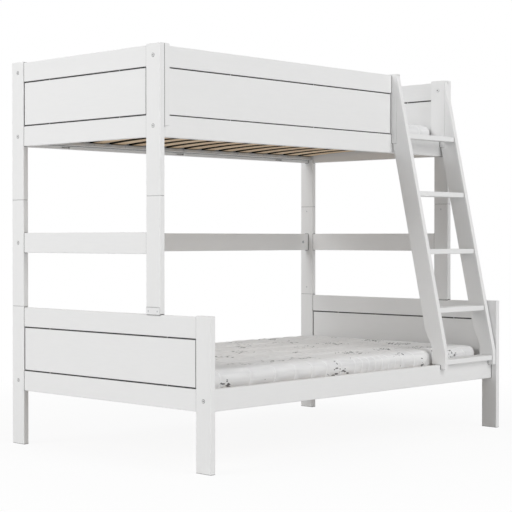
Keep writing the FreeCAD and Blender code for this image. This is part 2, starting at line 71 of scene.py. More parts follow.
def wire(tree, source, output, target, socket):
    """Joins an output of one node to an input of another."""
    tree.links.new(source.outputs[output], target.inputs[socket])


def new_group(name, inputs, outputs):
    """Starts a node group with its named sockets and returns its tree, entry and exit."""
    tree = bpy.data.node_groups.new(name, "ShaderNodeTree")
    for label, kind in inputs.items():
        tree.interface.new_socket(label, in_out="INPUT", socket_type=kind)
    for label, kind in outputs.items():
        tree.interface.new_socket(label, in_out="OUTPUT", socket_type=kind)
    return tree, tree.nodes.new("NodeGroupInput"), tree.nodes.new("NodeGroupOutput")


def new_material(name):
    """Starts a material and returns it with its tree and its Principled shader."""
    material = bpy.data.materials.new(name)
    material.use_nodes = True
    return material, material.node_tree, material.node_tree.nodes["Principled BSDF"]


def colour_ramp(tree, stops):
    """A colour ramp through the given places and colours."""
    ramp = tree.nodes.new("ShaderNodeValToRGB").color_ramp
    for element, (place, colour) in zip(ramp.elements, (stops[0], stops[-1])):
        element.position = place
        element.color = colour
    for place, colour in stops[1:-1]:
        ramp.elements.new(place).color = colour
    return tree.nodes[-1]


def lacquered_wood():
    """The sprayed surface: soft cloudy tone, a trace of the grain below it and a fine spray texture."""
    outputs = {"Colour": "NodeSocketColor", "Roughness": "NodeSocketFloat", "Height": "NodeSocketFloat"}
    tree, entry, leave = new_group("lacquered_wood", {"Place": "NodeSocketVector"}, outputs)
    clouds = add_node(tree, "ShaderNodeTexNoise", Scale=0.35, Detail=3.0)
    grain = add_node(tree, "ShaderNodeTexNoise", Scale=14.0, Detail=4.0, Roughness=0.6)
    spray = add_node(tree, "ShaderNodeTexNoise", Scale=60.0, Detail=2.0)
    for texture in (clouds, grain, spray):
        wire(tree, entry, "Place", texture, "Vector")
    tone = tree.nodes.new("ShaderNodeMath")
    tone.operation = "MULTIPLY_ADD"
    wire(tree, clouds, "Fac", tone, 0)
    tone.inputs[1].default_value = CLOUD_SHARE
    lean = add_node(tree, "ShaderNodeMath")
    lean.operation = "MULTIPLY"
    wire(tree, grain, "Fac", lean, 0)
    lean.inputs[1].default_value = GRAIN_SHARE
    wire(tree, lean, "Value", tone, 2)
    shades = colour_ramp(tree, [(DULL_AT, LACQUER_DULL), (BRIGHT_AT, LACQUER_BRIGHT)])
    wire(tree, tone, "Value", shades, "Fac")
    wire(tree, shades, "Color", leave, "Colour")
    sheen = tree.nodes.new("ShaderNodeMapRange")
    sheen.inputs["To Min"].default_value = SATIN_SMOOTH
    sheen.inputs["To Max"].default_value = SATIN_ROUGH
    wire(tree, grain, "Fac", sheen, "Value")
    wire(tree, sheen, "Result", leave, "Roughness")
    height = tree.nodes.new("ShaderNodeMath")
    height.operation = "MULTIPLY_ADD"
    wire(tree, spray, "Fac", height, 0)
    height.inputs[1].default_value = SPRAY_SHARE
    wire(tree, grain, "Fac", height, 2)
    wire(tree, height, "Value", leave, "Height")
    return tree


lacquer_group = lacquered_wood()


def shade_gaps(tree, finish, output, shader, reach=GAP_REACH, darkest=0.5, clear=0.95, where=None):
    """Feeds a finish's colour to the shader with painted shade: darkened where ambient occlusion finds
    narrow gaps and inner corners, all over or by a mask on the mesh.
    """
    opened = add_node(tree, "ShaderNodeAmbientOcclusion", Distance=reach)
    opened.samples = GAP_SAMPLES
    depth = colour_ramp(tree, [(darkest, GAP_SHADE), (clear, (1, 1, 1, 1))])
    tinted = tree.nodes.new("ShaderNodeMix")
    tinted.data_type = "RGBA"
    tinted.blend_type = "MULTIPLY"
    tinted.inputs[0].default_value = 1.0
    if where:
        mask = tree.nodes.new("ShaderNodeAttribute")
        mask.attribute_name = where
        wire(tree, mask, "Fac", tinted, 0)
    wire(tree, opened, "AO", depth, "Fac")
    wire(tree, finish, output, tinted, 6)
    wire(tree, depth, "Color", tinted, 7)
    wire(tree, tinted, 2, shader, "Base Color")


def lacquer(name, stretch, turn=0.0, shaded=True, **shade):
    """White lacquer whose grain runs along the board, turned about the bed's length if that slants, with
    painted shade in its gaps unless shaded is false.
    """
    material, tree, shader = new_material(name)
    place = tree.nodes.new("ShaderNodeTexCoord")
    lay = add_node(tree, "ShaderNodeMapping", Rotation=(turn, 0, 0), Scale=stretch)
    finish = tree.nodes.new("ShaderNodeGroup")
    finish.node_tree = lacquer_group
    bump = add_node(tree, "ShaderNodeBump", Strength=0.12, Distance=0.0006)
    wire(tree, place, "Object", lay, "Vector")
    wire(tree, lay, "Vector", finish, "Place")
    wire(tree, finish, "Height", bump, "Height")
    if shaded:
        shade_gaps(tree, finish, "Colour", shader, **shade)
    else:
        wire(tree, finish, "Colour", shader, "Base Color")
    wire(tree, finish, "Roughness", shader, "Roughness")
    wire(tree, bump, "Normal", shader, "Normal")
    shader.inputs["Specular IOR Level"].default_value = 0.4
    return material


def dress(node, material, edge=SOFT_EDGE):
    """Gives a frame piece its finish, and the small round that sanding leaves on its edges."""
    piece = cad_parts[node]
    piece.data.materials.clear()
    piece.data.materials.append(material)
    weld = piece.modifiers.new("merged_corners", "WELD")
    weld.merge_threshold = WELD_REACH
    flats = piece.modifiers.new("whole_faces", "DECIMATE")
    flats.decimate_type = "DISSOLVE"
    flats.angle_limit = FLAT_ANGLE
    sanded = piece.modifiers.new("sanded_edges", "BEVEL")
    sanded.width = edge
    sanded.segments = 2
    sanded.limit_method = "ANGLE"
    sanded.angle_limit = SHARP_ANGLE
    sanded.use_clamp_overlap = False
    sanded.harden_normals = True


ACROSS_GRAIN, ALONG_GRAIN = 8.0, 0.9
UPRIGHT_GRAIN = (ACROSS_GRAIN, ACROSS_GRAIN, ALONG_GRAIN)
# The posts' lacquer paints shade in their seams, gaps and inner corners.
upright_lacquer = lacquer("lacquer_upright", UPRIGHT_GRAIN)
SIDES = ("left", "right")
for side in SIDES:
    for section in ("lower_post", "extension_post", "upper_post"):
        for row in ("back", "front"):
            dress(f"{section}_{row}_{side}", upright_lacquer)

# Bed ends and end mid rails: a top and a bottom board, tenoned into the posts, hold a floating panel
# between them on dowels. All are solid boards with the same lacquer, with the grain across the bed.
# The end boards' and mid rails' lacquer paints shade in their gaps and joints, reaching further than the
# posts'.
END_GAP_REACH = 0.009
CROSS_GRAIN = (ACROSS_GRAIN, ALONG_GRAIN, ACROSS_GRAIN)
cross_lacquer = lacquer("lacquer_crosswise", CROSS_GRAIN, reach=END_GAP_REACH)
for side in SIDES:
    dress(f"mid_rail_{side}", cross_lacquer)
    for bed in ("lower", "upper"):
        for board in ("top_board", "panel", "bottom_board"):
            dress(f"{bed}_end_{board}_{side}", cross_lacquer)

# Side rails, guard boards and the back mid rail: long boards bolted between the posts, with the ledgers
# that are screwed inside the side rails to carry the slats. The grain runs along the bed.
# The ledgers' lacquer paints the shade of the slats above them: its colour darkens with the ambient
# occlusion found within six centimetres, down to near black.
SHADE_UNDER_SLATS = {"reach": 0.06, "darkest": 0.0, "clear": 1.0}
LONG_GRAIN = (ALONG_GRAIN, ACROSS_GRAIN, ACROSS_GRAIN)
# The long boards' lacquer paints shade in their gaps and joints, and the steps take it too.
long_lacquer = lacquer("lacquer_lengthwise", LONG_GRAIN)
dress("mid_rail_back", long_lacquer)
for row in ("back", "front"):
    for board in ("lower_rail", "upper_rail", "guard_top_board", "guard_panel"):
        dress(f"{board}_{row}", long_lacquer)
ledger_lacquer = lacquer("lacquer_ledger", LONG_GRAIN, **SHADE_UNDER_SLATS)
for bed in ("lower", "upper"):
    dress(f"{bed}_ledgers", ledger_lacquer)
dowel_lacquer = lacquer("lacquer_dowel", UPRIGHT_GRAIN, shaded=False)
dress("panel_dowels", dowel_lacquer, SOFT_EDGE / 6)

# Panel shade strips: thin lacquered strips set deep in the gaps round the floating panels, so that no light
# falls through between the boards, and painted near black all over as the shade deep in the gaps. They
# stand back from both faces, and the dowels cross them.
SHADE_STRIP_THICK, SHADE_STRIP_REACH, SHADE_STRIP_ROUND = 0.006, 0.0055, 0.0006
# Their lacquer's ambient occlusion reaches three centimetres, so the painted shade darkens them nearly
# black everywhere.
DEEP_SHADE = {"reach": 0.03, "darkest": 0.6, "clear": 0.95}
shade_strip_lacquer = lacquer("lacquer_shade_strip", LONG_GRAIN, **DEEP_SHADE)


def block(place, size):
    """A plain block, given by its middle and its half sizes."""
    bpy.ops.object.select_all(action="DESELECT")
    bpy.ops.mesh.primitive_cube_add(size=2, location=place, scale=size)
    bpy.ops.object.transform_apply()
    return bpy.context.object


panels = [f"{bed}_end_panel_{side}" for bed in ("lower", "upper") for side in SIDES]
panels += ["guard_panel_front", "guard_panel_back"]
strips = []
for panel in panels:
    low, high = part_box(panel)
    middle, half = (low + high) / 2, (high - low) / 2
    thin = 0 if half.x < half.y else 1
    half[thin] = SHADE_STRIP_THICK / 2
    for axis in (1 - thin, 2):
        for sign in (-1, 1):
            place, size = middle.copy(), half.copy()
            place[axis] += sign * (half[axis] + SHADE_STRIP_REACH / 2)
            size[axis] = SHADE_STRIP_REACH / 2
            if axis == 2:
                size[1 - thin] += SHADE_STRIP_REACH
            strips.append(block(place, size))
panel_shade_strips = strips[0]
panel_shade_strips.name = "panel_shade_strips"
bpy.context.view_layer.objects.active = panel_shade_strips
for strip in strips:
    strip.select_set(True)
bpy.ops.object.join()
softened = panel_shade_strips.modifiers.new("softened", "BEVEL")
softened.width = SHADE_STRIP_ROUND
softened.segments = 2
bpy.ops.object.modifier_apply(modifier="softened")
panel_shade_strips.data.materials.append(shade_strip_lacquer)
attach(panel_shade_strips, "frame")

# Guard uprights: forked boards that straddle the upper side rails and close the guards at their ends.
# They are cut from the same stock as the posts and finished with them.
# The uprights at the ladder and the stiles take a lacquer with weaker painted shade, which darkens only
# where ambient occlusion finds deep gaps.
WEAK_GAP_SHADE = {"darkest": 0.2, "clear": 0.5}
fitted_lacquer = lacquer("lacquer_fitted", UPRIGHT_GRAIN, **WEAK_GAP_SHADE)
for place in ("front_left", "back_left", "back_right"):
    dress(f"guard_upright_{place}", upright_lacquer)
for side in SIDES:
    dress(f"guard_upright_ladder_{side}", fitted_lacquer)

# Ladder: two slanted stiles with a hooked foot and a swept heel, and five steps housed between them.
# The stiles' grain follows their slant, so their lacquer is turned to it.
foot_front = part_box("ladder_stile_left")[0]
head_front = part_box("guard_upright_ladder_left")
ladder_slant = math.atan2(head_front[0].y - foot_front.y, head_front[1].z - foot_front.z)
# The stiles' lacquer has the same weaker painted shade.
stile_lacquer = lacquer("lacquer_slanted", UPRIGHT_GRAIN, ladder_slant, **WEAK_GAP_SHADE)
for side in SIDES:
    dress(f"ladder_stile_{side}", stile_lacquer)
for number in range(1, 6):
    dress(f"ladder_step_{number}", long_lacquer)

# Slats: sprung boards of bare planed pine laid across the ledgers, bent up a little towards the middle
# of the bed, with the growth rings and the small knots of fast grown softwood.
SLAT_WIDE, SLAT_GAP, SLAT_BOW = 0.07, 0.057, 0.018
SLAT_CUTS, SLAT_EDGE = 15, 0.0006
PINE_LIGHT = (0.84, 0.66, 0.45, 1)
PINE_DARK = (0.66, 0.48, 0.31, 1)
PINE_KNOT = (0.26, 0.15, 0.08, 1)
RING_SHARE, TONE_SHARE = 0.55, 0.45
EARLY_WOOD, LATE_WOOD = 0.34, 0.66
KNOT_CORE, KNOT_RIM = 0.05, 0.11
# The slats' upright sides take painted shade: their colour darkens where ambient occlusion within nine
# centimetres finds the next slat and the mattress.
SIDE_SHADE = {"reach": 0.09, "darkest": 0.58, "clear": 0.92, "where": "slat_side"}
SMOOTH_ANGLE = math.radians(35)


def pine():
    """Bare pine with rings along the slat, slow changes of tone from slat to slat, and knots, with painted
    shade darkening the slats' upright sides.
    """
    material, tree, shader = new_material("bare_pine")
    place = tree.nodes.new("ShaderNodeTexCoord")
    lay = add_node(tree, "ShaderNodeMapping", Scale=(60.0, 3.2, 60.0))
    rings = add_node(tree, "ShaderNodeTexNoise", Scale=1.0, Detail=6.0, Roughness=0.62, Distortion=0.6)
    slat_tone = add_node(tree, "ShaderNodeTexNoise", Scale=6.5, Detail=1.0)
    knots = add_node(tree, "ShaderNodeTexVoronoi", Scale=1.0, Randomness=1.0)
    knot_lay = add_node(tree, "ShaderNodeMapping", Scale=(9.0, 4.5, 9.0))
    wire(tree, place, "Object", lay, "Vector")
    wire(tree, place, "Object", slat_tone, "Vector")
    wire(tree, place, "Object", knot_lay, "Vector")
    wire(tree, lay, "Vector", rings, "Vector")
    wire(tree, knot_lay, "Vector", knots, "Vector")
    blend = tree.nodes.new("ShaderNodeMath")
    blend.operation = "MULTIPLY_ADD"
    blend.inputs[1].default_value = RING_SHARE
    wire(tree, rings, "Fac", blend, 0)
    half_tone = tree.nodes.new("ShaderNodeMath")
    half_tone.operation = "MULTIPLY"
    half_tone.inputs[1].default_value = TONE_SHARE
    wire(tree, slat_tone, "Fac", half_tone, 0)
    wire(tree, half_tone, "Value", blend, 2)
    wood = colour_ramp(tree, [(EARLY_WOOD, PINE_LIGHT), (LATE_WOOD, PINE_DARK)])
    wire(tree, blend, "Value", wood, "Fac")
    spot = colour_ramp(tree, [(KNOT_CORE, (1, 1, 1, 1)), (KNOT_RIM, (0, 0, 0, 1))])
    wire(tree, knots, "Distance", spot, "Fac")
    knotted = tree.nodes.new("ShaderNodeMix")
    knotted.data_type = "RGBA"
    wire(tree, spot, "Color", knotted, 0)
    wire(tree, wood, "Color", knotted, 6)
    knotted.inputs[7].default_value = PINE_KNOT
    shade_gaps(tree, knotted, 2, shader, **SIDE_SHADE)
    bump = add_node(tree, "ShaderNodeBump", Strength=0.2, Distance=0.0008)
    wire(tree, rings, "Fac", bump, "Height")
    wire(tree, bump, "Normal", shader, "Normal")
    shader.inputs["Roughness"].default_value = 0.62
    shader.inputs["Specular IOR Level"].default_value = 0.15
    return material


pine_finish = pine()


def only(piece):
    """Makes one object the active and only selected one."""
    bpy.ops.object.select_all(action="DESELECT")
    bpy.context.view_layer.objects.active = piece
    piece.select_set(True)


def cut_along(piece, axis, *passes):
    """Cuts all the edges that run along one axis, once for each count of cuts."""
    for cuts in passes:
        only(piece)
        bpy.ops.object.mode_set(mode="EDIT")
        bpy.ops.mesh.select_mode(type="EDGE")
        bpy.ops.mesh.select_all(action="DESELECT")
        bpy.ops.object.mode_set(mode="OBJECT")
        for edge in piece.data.edges:
            ends = [piece.data.vertices[corner].co[axis] for corner in edge.vertices]
            edge.select = abs(ends[0] - ends[1]) > 1e-5
        bpy.ops.object.mode_set(mode="EDIT")
        bpy.ops.mesh.subdivide(number_cuts=cuts)
        bpy.ops.object.mode_set(mode="OBJECT")


def bow_over(bed, y):
    """How far a bed's slats rise at a place across it: nothing at their ends, most in the middle."""
    low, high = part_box(f"{bed}_slats")
    off = (y - (low.y + high.y) / 2) / ((high.y - low.y) / 2)
    return SLAT_BOW * np.clip(1 - off ** 2, 0, None)


def bowed_slats(bed):
    """One bed's slats in one piece, with sanded edges."""
    low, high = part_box(f"{bed}_slats")
    middle, half = (low + high) / 2, (high - low) / 2
    count = round((2 * half.x + SLAT_GAP) / (SLAT_WIDE + SLAT_GAP))
    boards = []
    for number in range(count):
        x = low.x + SLAT_WIDE / 2 + number * (SLAT_WIDE + SLAT_GAP)
        boards.append(block((x, middle.y, middle.z), (SLAT_WIDE / 2, half.y, half.z)))
    piece = boards[0]
    piece.name = f"{bed}_slats_bowed"
    only(piece)
    for board in boards:
        board.select_set(True)
    bpy.ops.object.join()
    cut_along(piece, 1, SLAT_CUTS)
    for vertex in piece.data.vertices:
        vertex.co.z += bow_over(bed, vertex.co.y)
    sanded = piece.modifiers.new("sanded", "BEVEL")
    sanded.width = SLAT_EDGE
    sanded.segments = 2
    sanded.limit_method = "ANGLE"
    sanded.angle_limit = SHARP_ANGLE
    bpy.ops.object.modifier_apply(modifier="sanded")
    bpy.ops.object.shade_smooth_by_angle(angle=SMOOTH_ANGLE)
    # Marks the upright sides of the slats, which take the painted shade.
    upright = [1 - abs(face.normal.z) for face in piece.data.polygons]
    piece.data.attributes.new("slat_side", "FLOAT", "FACE").data.foreach_set("value", upright)
    piece.data.materials.append(pine_finish)
    return piece


for bed in ("lower", "upper"):
    slats = bowed_slats(bed)
    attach(slats, "frame")
    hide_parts(f"{bed}_slats")

# Frame and ladder bolts: white painted bolts with a flat round head and a hexagon recess, entered flush
# through the posts and the uprights into barrel nuts.
HEAD_RADIUS, HEAD_DEPTH, SHANK_RADIUS = 0.0073, 0.003, 0.0036
RECESS_RADIUS, RECESS_DEPTH = 0.0033, 0.0022
# The recess faces take painted shade, a near-black colour.
SOCKET_SHADE = (0.05, 0.05, 0.052, 1)
RIM_ROUND, SHANK_LAP = 0.0008, 0.0005
HEAD_SIDES, SOCKET_SIDES, SHANK_SIDES = 40, 6, 20
FRAME_SHANK, LADDER_SHANK = 0.05, 0.06
SEAT_RADIUS, CAP_RADIUS, CAP_STANDS = 0.008, 0.0105, 0.003


def powder_coat(name, colour, scale):
    """Powder coat on metal: even colour with a fine pebbled surface, and painted shade in narrow gaps and
    inner corners.
    """
    material, tree, shader = new_material(name)
    place = tree.nodes.new("ShaderNodeTexCoord")
    pebbles = add_node(tree, "ShaderNodeTexNoise", Scale=scale, Detail=2.0)
    tint = colour_ramp(tree, [(0.3, (*[c * 0.94 for c in colour], 1)), (0.7, (*colour, 1))])
    bump = add_node(tree, "ShaderNodeBump", Strength=0.1, Distance=0.0003)
    wire(tree, place, "Object", pebbles, "Vector")
    wire(tree, pebbles, "Fac", tint, "Fac")
    wire(tree, pebbles, "Fac", bump, "Height")
    # Painted shade: the colour darkens in narrow gaps and inner corners.
    shade_gaps(tree, tint, "Color", shader)
    wire(tree, bump, "Normal", shader, "Normal")
    shader.inputs["Roughness"].default_value = 0.45
    return material


hardware_white = powder_coat("white_hardware", (0.82, 0.82, 0.82), 900.0)


def zinc():
    """Zinc plated steel with the cloudy spangle of plating."""
    material, tree, shader = new_material("zinc_steel")
    place = tree.nodes.new("ShaderNodeTexCoord")
    cloud = add_node(tree, "ShaderNodeTexNoise", Scale=260.0, Detail=3.0)
    tint = colour_ramp(tree, [(0.3, (0.42, 0.43, 0.45, 1)), (0.7, (0.56, 0.57, 0.59, 1))])
    rough = tree.nodes.new("ShaderNodeMapRange")
    rough.inputs["To Min"].default_value = 0.28
    rough.inputs["To Max"].default_value = 0.46
    wire(tree, place, "Object", cloud, "Vector")
    wire(tree, cloud, "Fac", tint, "Fac")
    wire(tree, cloud, "Fac", rough, "Value")
    wire(tree, tint, "Color", shader, "Base Color")
    wire(tree, rough, "Result", shader, "Roughness")
    shader.inputs["Metallic"].default_value = 1.0
    return material


zinc_finish = zinc()


def painted_socket_shade():
    """Painted shade for a bolt's recess: a near-black colour on the recess faces, with roughness that
    varies like scratched steel.
    """
    material, tree, shader = new_material("painted_socket_shade")
    place = tree.nodes.new("ShaderNodeTexCoord")
    scratches = add_node(tree, "ShaderNodeTexNoise", Scale=1400.0, Detail=2.0)
    rough = tree.nodes.new("ShaderNodeMapRange")
    rough.inputs["To Min"].default_value = 0.45
    rough.inputs["To Max"].default_value = 0.7
    wire(tree, place, "Object", scratches, "Vector")
    wire(tree, scratches, "Fac", rough, "Value")
    wire(tree, rough, "Result", shader, "Roughness")
    shader.inputs["Base Color"].default_value = SOCKET_SHADE
    shader.inputs["Specular IOR Level"].default_value = 0.2
    return material


socket_shade_finish = painted_socket_shade()


def cylinder(name, sides, radius, depth, middle):
    """A many-sided bar along the X axis, with its place in its mesh."""
    bpy.ops.object.select_all(action="DESELECT")
    bpy.ops.mesh.primitive_cylinder_add(vertices=sides, radius=radius, depth=depth, location=(middle, 0, 0))
    piece = bpy.context.object
    piece.name = name
    piece.rotation_euler = (0, math.radians(90), 0)
    bpy.ops.object.transform_apply()
    return piece


def bolt_shape(name, shank, radius=HEAD_RADIUS):
    """One bolt that points along -X with its head's face at the origin: rounded rim, recess and shank."""
    head = cylinder(name, HEAD_SIDES, radius, HEAD_DEPTH, -HEAD_DEPTH / 2)
    rim = head.modifiers.new("rim", "BEVEL")
    rim.width = RIM_ROUND
    rim.segments = 3
    only(head)
    bpy.ops.object.modifier_apply(modifier="rim")
    tool = cylinder(name + "_tool", SOCKET_SIDES, RECESS_RADIUS, RECESS_DEPTH * 2, 0)
    cut = head.modifiers.new("recess", "BOOLEAN")
    cut.operation = "DIFFERENCE"
    cut.object = tool
    only(head)
    bpy.ops.object.modifier_apply(modifier="recess")
    bpy.data.objects.remove(tool)
    head.data.materials.append(hardware_white)
    head.data.materials.append(socket_shade_finish)
    # The faces inside the recess take the painted shade.
    for face in head.data.polygons:
        from_axis = math.hypot(face.center.y, face.center.z)
        if face.center.x < -RIM_ROUND / 4 and from_axis < RECESS_RADIUS and face.normal.x > -0.5:
            face.material_index = 1
    middle = -HEAD_DEPTH - shank / 2 + SHANK_LAP
    stem = cylinder(name + "_stem", SHANK_SIDES, SHANK_RADIUS, shank, middle)
    only(head)
    stem.select_set(True)
    bpy.ops.object.join()
    bpy.ops.object.shade_smooth_by_angle(angle=SMOOTH_ANGLE)
    return head


def set_out(master, name, places):
    """Copies a master to each place and turn, joins the copies into one piece and drops the master."""
    copies = []
    for place, turn in places:
        copy = master.copy()
        copy.data = master.data.copy()
        bpy.context.collection.objects.link(copy)
        copy.data.transform(Matrix.Translation(place) @ Matrix.Rotation(turn, 4, "Z"))
        copies.append(copy)
    only(copies[0])
    for copy in copies[1:]:
        copy.select_set(True)
    if len(copies) > 1:
        bpy.ops.object.join()
    bpy.data.objects.remove(master)
    copies[0].name = name
    return copies[0]


def middle_of(node):
    """The middle of a node's box."""
    low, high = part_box(node)
    return (low + high) / 2


POST_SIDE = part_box("upper_post_back_right")[1].x
RIGHT_TURN, LEFT_TURN, BACK_TURN = 0.0, math.pi, math.radians(90)
bolt_places = []
bolted = [f"{bed}_rail_{row}" for bed in ("lower", "upper") for row in ("back", "front")]
bolted += ["mid_rail_back", "guard_top_board_back", "guard_top_board_front"]
for board in bolted:
    level = middle_of(board)
    bolt_places.append(((POST_SIDE, level.y, level.z), RIGHT_TURN))
    bolt_places.append(((-POST_SIDE, level.y, level.z), LEFT_TURN))
entry_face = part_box("guard_upright_ladder_right")[0].x
guard_level = middle_of("guard_top_board_front")
cap_places = [((entry_face - CAP_STANDS, guard_level.y, guard_level.z), LEFT_TURN)]
cap_master = bolt_shape("cap_master", FRAME_SHANK, CAP_RADIUS)
entry_cap = set_out(cap_master, "entry_cap", cap_places)
frame_bolts = set_out(bolt_shape("bolt_master", FRAME_SHANK), "frame_bolts_turned", bolt_places)
only(frame_bolts)
entry_cap.select_set(True)
bpy.ops.object.join()
ladder_places = []
ladder_low, ladder_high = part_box("ladder_bolts")
for side, upright in (("left", "ladder_left"), ("right", "ladder_right")):
    stile = middle_of(f"ladder_stile_{side}")
    back_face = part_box(f"guard_upright_{upright}")[1].y
    for level in (ladder_low.z + SEAT_RADIUS, ladder_high.z - SEAT_RADIUS):
        ladder_places.append(((stile.x, back_face, level), BACK_TURN))
ladder_bolts = set_out(bolt_shape("ladder_bolt_master", LADDER_SHANK), "ladder_bolts_turned", ladder_places)
for piece, node in ((frame_bolts, "frame_bolts"), (ladder_bolts, "ladder_bolts")):
    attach(piece, "frame")
    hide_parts(node)

# Foot brackets: bent steel angles with a white powder coat, which hold the feet of the front extension
# posts on the lower ends. Barrel nuts and the joint plates inside the posts are plain zinc plated steel.
dress("foot_brackets", hardware_white, SOFT_EDGE / 5)
for node in ("barrel_nuts", "post_joint_plates"):
    dress(node, zinc_finish, SOFT_EDGE / 5)

# Small screws: countersunk cross-head screws hold the ledgers to the rails and the brackets to their
# posts, and grub screws lock the joint plates at the posts' seams.
SCREW_RADIUS, SCREW_HEIGHT = 0.0038, 0.0012
BRACKET_SCREW, GRUB_SCREW = (0.003, 0.001), (0.0032, 0.0008)
SCREW_SIDES, SCREW_SINK, DOME_SHARE = 24, 0.0002, 0.55
CROSS_BLADES = ((0.3, 1.25), (1.25, 0.3))
LEDGER_DEPTH = 0.028
BRACKET_INSET, BRACKET_DROP = 0.014, 0.016
LEDGER_SCREW_PITCH = 0.2
GRUB_FROM_SEAM = 0.027
GRUB_FROM_FOOT = 0.040


def screw_shape(name, radius, height):
    """A low domed screw head that points along +X, with a cross recess pressed into it."""
    head = cylinder(name, SCREW_SIDES, radius, height, height / 2 - SCREW_SINK)
    dome = head.modifiers.new("dome", "BEVEL")
    dome.width = height * DOME_SHARE
    dome.segments = 3
    only(head)
    bpy.ops.object.modifier_apply(modifier="dome")
    for size in CROSS_BLADES:
        bpy.ops.object.select_all(action="DESELECT")
        bpy.ops.mesh.primitive_cube_add(size=1, location=(height, 0, 0))
        blade = bpy.context.object
        blade.scale = (height, size[0] * radius, size[1] * radius)
        bpy.ops.object.transform_apply()
        cross = head.modifiers.new("cross", "BOOLEAN")
        cross.operation = "DIFFERENCE"
        cross.object = blade
        only(head)
        bpy.ops.object.modifier_apply(modifier="cross")
        bpy.data.objects.remove(blade)
    bpy.ops.object.shade_smooth_by_angle(angle=SMOOTH_ANGLE)
    return head


def fasten(piece, material):
    """Finishes a set of screws and lets it ride on the frame."""
    piece.data.materials.append(material)
    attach(piece, "frame")


FRONT_TURN = math.radians(-90)
for bed in ("lower", "upper"):
    low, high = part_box(f"{bed}_ledgers")
    inner_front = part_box(f"{bed}_rail_front")[1].y + LEDGER_DEPTH
    inner_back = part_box(f"{bed}_rail_back")[0].y - LEDGER_DEPTH
    count = int((high.x - low.x) / LEDGER_SCREW_PITCH)
    places = []
    for number in range(count):
        x = (number - (count - 1) / 2) * LEDGER_SCREW_PITCH
        level = (low.z + high.z) / 2
        places.append(((x, inner_front, level), BACK_TURN))
        places.append(((x, inner_back, level), FRONT_TURN))
    ledger_screw = screw_shape("screw_master", SCREW_RADIUS, SCREW_HEIGHT)
    screws = set_out(ledger_screw, f"{bed}_ledger_screws", places)
    fasten(screws, zinc_finish)
places = []
low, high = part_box("foot_brackets")
for sign, turn in ((-1, LEFT_TURN), (1, RIGHT_TURN)):
    for inset in (BRACKET_INSET, high.y - low.y - BRACKET_INSET):
        places.append(((sign * high.x, low.y + inset, high.z - BRACKET_DROP), turn))
bracket_screws = set_out(screw_shape("screw_master", *BRACKET_SCREW), "bracket_screws", places)
fasten(bracket_screws, zinc_finish)
places = []
for row in ("back", "front"):
    for side, turn in (("left", RIGHT_TURN), ("right", LEFT_TURN)):
        low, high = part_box(f"extension_post_{row}_{side}")
        inner = high.x if side == "left" else low.x
        middle = (low.y + high.y) / 2
        places.append(((inner, middle, high.z - GRUB_FROM_SEAM), turn))
        if row == "back":
            places.append(((inner, middle, low.z + GRUB_FROM_FOOT), turn))
grub_screws = set_out(screw_shape("screw_master", *GRUB_SCREW), "grub_screws", places)
fasten(grub_screws, zinc_finish)

# Mattresses: foam in a quilted knit cover. Wavy seams run across the top and down the sides, and the
# padding puffs up between them. Each cover is swollen by cloth simulation with its seams held down.
COVER_WHITE = (0.86, 0.86, 0.86, 1)
COVER_GREY = (0.78, 0.78, 0.785, 1)
PRINT_GREY = (0.14, 0.14, 0.145, 1)
THREAD_AND_HIGHLIGHT = (0.92, 0.92, 0.92, 1)
UNDERSIDE_SHADE = (0.02, 0.02, 0.021, 1)
DASH_TURN, DASH_CELLS = (0.0, math.radians(35), math.radians(25)), (34.0, 120.0, 120.0)
DASH_WIDTH, CLUSTERS_PER_METRE, CLUSTER_REACH = 0.42, 4.4, 0.7
SWELL = 0.005
EDGE_ROUND = 0.036
PLAN_ROUND = 0.052
SEAM_DEPTH = 0.0035
SEAM_HALF = 0.0055
WAVE_HEIGHT = 0.02
WAVE_LENGTH = 0.215
WAVE_CREST = 0.3
SLICES = 18
CROWDING = 0.6
WIDE_SEAMS, NARROW_SEAMS, SEAMS_WIDEN = 0.1, 0.05, 0.15
NARROW_AT, NARROW_HALF, WIDER_FROM = 0.16, 0.18, 0.5
SWELL_CAP, SWELL_STEPS = 0.0035, 20
SWELL_PRESSURE, SWELL_SHRINK = 4.0, -0.012
ROW_PITCH, SIDE_CUTS = 0.02, 9
WAVE_FADE, THREAD_HALF = 0.12, 0.003
ON_FACE = 1e-4


def dash_print():
    """A mask of short slanted brush dashes, gathered in loose clusters with bare cloth between them."""
    tree, entry, leave = new_group("dash_print", {"Place": "NodeSocketVector"}, {"Mask": "NodeSocketFloat"})
    slant = add_node(tree, "ShaderNodeMapping", Rotation=DASH_TURN, Scale=DASH_CELLS)
    dashes = add_node(tree, "ShaderNodeTexVoronoi", Scale=1.0, Randomness=0.7)
    clusters = add_node(tree, "ShaderNodeTexVoronoi", Scale=CLUSTERS_PER_METRE, Randomness=0.6)
    ragged = add_node(tree, "ShaderNodeTexNoise", Scale=30.0, Detail=1.0)
    wire(tree, entry, "Place", slant, "Vector")
    wire(tree, slant, "Vector", dashes, "Vector")
    wire(tree, entry, "Place", clusters, "Vector")
    wire(tree, entry, "Place", ragged, "Vector")
    stroke = tree.nodes.new("ShaderNodeMath")
    stroke.operation = "LESS_THAN"
    stroke.inputs[1].default_value = DASH_WIDTH
    wire(tree, dashes, "Distance", stroke, 0)
    edge = tree.nodes.new("ShaderNodeMath")
    edge.operation = "MULTIPLY"
    edge.inputs[1].default_value = CLUSTER_REACH
    wire(tree, ragged, "Fac", edge, 0)
    near = tree.nodes.new("ShaderNodeMath")
    near.operation = "LESS_THAN"
    wire(tree, clusters, "Distance", near, 0)
    wire(tree, edge, "Value", near, 1)
    mask = tree.nodes.new("ShaderNodeMath")
    mask.operation = "MULTIPLY"
    wire(tree, stroke, "Value", mask, 0)
    wire(tree, near, "Value", mask, 1)
    wire(tree, mask, "Value", leave, "Mask")
    return tree


